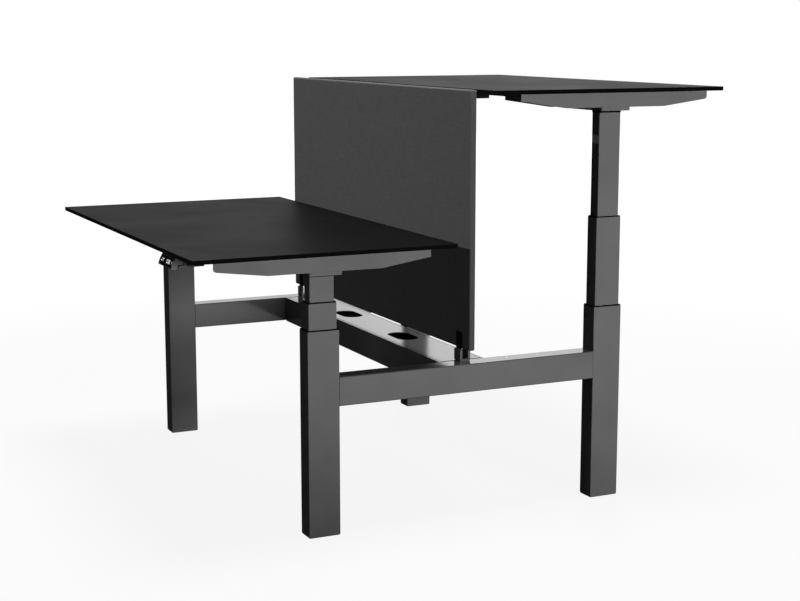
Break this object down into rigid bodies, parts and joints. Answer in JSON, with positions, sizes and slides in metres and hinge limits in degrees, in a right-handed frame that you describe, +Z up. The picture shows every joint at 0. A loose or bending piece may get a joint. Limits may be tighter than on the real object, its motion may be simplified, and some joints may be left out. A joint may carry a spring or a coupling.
{
  "type": "two-person sit-stand bench desk",
  "caption": "Face-to-face sit-stand bench desk: worktops that lift separately on telescopic columns, tied by crossbars and a lidded cable tray that carries a fabric screen.",
  "frame": {"origin": "on the floor, under the middle of the bench", "axes": "+X along the worktops to the right as seen by the front desk's user, +Y from the front desk's user to the back desk's user, +Z up"},
  "size_m": [1.4, 1.68, 1.239],
  "materials": {
    "worktop_laminate": "matt black compact laminate",
    "frame_paint": "satin dark grey powder coat on steel",
    "tray_paint": "smooth dark grey paint on folded steel",
    "zinc_steel": "zinc plated",
    "bush_plastic": "moulded black",
    "housing_plastic": "moulded black",
    "handset_plastic": "moulded dark grey",
    "handset_gloss": "gloss black display window",
    "screen_fabric": "woven charcoal fabric"
  },
  "bodies": {
    "frame": {"left_crossbar": "frame_paint", "right_crossbar": "frame_paint", "left_screen_clamp": "frame_paint", "right_screen_clamp": "frame_paint", "cable_tray": "tray_paint", "tray_lid": "tray_paint", "screen_panel": "screen_fabric", "front_right_foot": "zinc_steel", "front_right_outer_tube": "frame_paint", "front_right_outer_bush": "bush_plastic", "front_left_foot": "zinc_steel", "front_left_outer_tube": "frame_paint", "front_left_outer_bush": "bush_plastic", "back_right_foot": "zinc_steel", "back_right_outer_tube": "frame_paint", "back_right_outer_bush": "bush_plastic", "back_left_foot": "zinc_steel", "back_left_outer_tube": "frame_paint", "back_left_outer_bush": "bush_plastic"},
    "front_mid": {"front_right_mid_tube": "frame_paint", "front_right_mid_bush": "bush_plastic", "front_right_hollow_spindle": "zinc_steel", "front_left_mid_tube": "frame_paint", "front_left_mid_bush": "bush_plastic", "front_left_hollow_spindle": "zinc_steel"},
    "front_desk": {"front_right_inner_column": "frame_paint", "front_right_drive_screw": "zinc_steel", "front_right_gear_motor": "housing_plastic", "front_right_side_bracket": "frame_paint", "front_left_inner_column": "frame_paint", "front_left_drive_screw": "zinc_steel", "front_left_gear_motor": "housing_plastic", "front_left_side_bracket": "frame_paint", "front_worktop": "worktop_laminate", "front_head_beam": "frame_paint", "front_control_box": "housing_plastic", "front_handset_mount": "handset_plastic"},
    "front_paddle": {"front_handset_paddle": "handset_plastic", "front_handset_panel": "handset_gloss"},
    "back_mid": {"back_right_mid_tube": "frame_paint", "back_right_mid_bush": "bush_plastic", "back_right_hollow_spindle": "zinc_steel", "back_left_mid_tube": "frame_paint", "back_left_mid_bush": "bush_plastic", "back_left_hollow_spindle": "zinc_steel"},
    "back_desk": {"back_right_inner_column": "frame_paint", "back_right_drive_screw": "zinc_steel", "back_right_gear_motor": "housing_plastic", "back_right_side_bracket": "frame_paint", "back_left_inner_column": "frame_paint", "back_left_drive_screw": "zinc_steel", "back_left_gear_motor": "housing_plastic", "back_left_side_bracket": "frame_paint", "back_worktop": "worktop_laminate", "back_head_beam": "frame_paint", "back_control_box": "housing_plastic", "back_handset_mount": "handset_plastic"},
    "back_paddle": {"back_handset_paddle": "handset_plastic", "back_handset_panel": "handset_gloss"}
  },
  "joints": [
    {"name": "front_desk_lift", "type": "slide", "parent": "frame", "child": "front_desk", "axis": [0, 0, 1], "range_m": [-0.131, 0.519]},
    {"name": "front_mid_lift", "type": "slide", "parent": "frame", "child": "front_mid", "axis": [0, 0, 1], "range_m": [-0.0641, 0.2537]},
    {"name": "front_paddle_tilt", "type": "hinge", "parent": "front_desk", "child": "front_paddle", "pos_m": [0.452, -0.79775, 0.7835], "axis": [-1, 0, 0], "range_deg": [-4, 4], "stiffness_Nm_per_rad": 2},
    {"name": "back_desk_lift", "type": "slide", "parent": "frame", "child": "back_desk", "axis": [0, 0, 1], "range_m": [-0.557, 0.093]},
    {"name": "back_mid_lift", "type": "slide", "parent": "frame", "child": "back_mid", "axis": [0, 0, 1], "range_m": [-0.2521, 0.0422]},
    {"name": "back_paddle_tilt", "type": "hinge", "parent": "back_desk", "child": "back_paddle", "pos_m": [-0.452, 0.79775, 1.2095], "axis": [1, 0, 0], "range_deg": [-4, 4], "stiffness_Nm_per_rad": 2}
  ],
  "couplings": [
    {"joint": "front_mid_lift", "follows": "front_desk_lift", "ratio": 0.48855},
    {"joint": "back_mid_lift", "follows": "back_desk_lift", "ratio": 0.45242}
  ]
}
